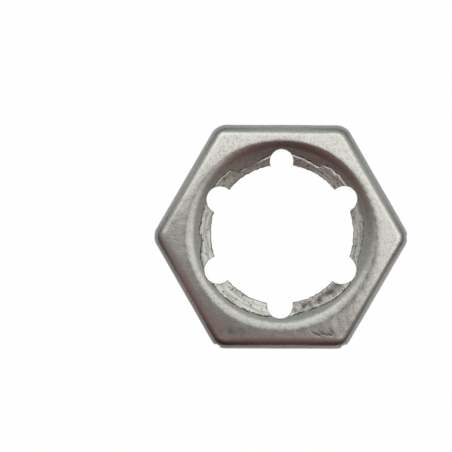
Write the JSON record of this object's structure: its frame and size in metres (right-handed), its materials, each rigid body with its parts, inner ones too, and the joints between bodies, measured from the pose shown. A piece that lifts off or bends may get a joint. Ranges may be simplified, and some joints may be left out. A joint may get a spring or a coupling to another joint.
{
  "type": "stamped lock nut",
  "caption": "Self-locking nut pressed from sheet steel: hexagonal plate with folded crowned flaps and a dished, slotted middle whose tongues bite a bolt's thread.",
  "frame": {"origin": "on the thread axis, in the plane that the crowns of the flaps stand on", "axes": "+Z along the thread axis, out of the flat bearing face; +X through a corner of the hexagon, +Y square to a wrench flat"},
  "size_m": [0.0272, 0.024, 0.0052],
  "materials": {
    "pressed_steel": "tumbled matt stainless sheet, burnished on the folded walls"
  },
  "bodies": {
    "root": {"lock_nut": "pressed_steel"}
  },
  "joints": []
}
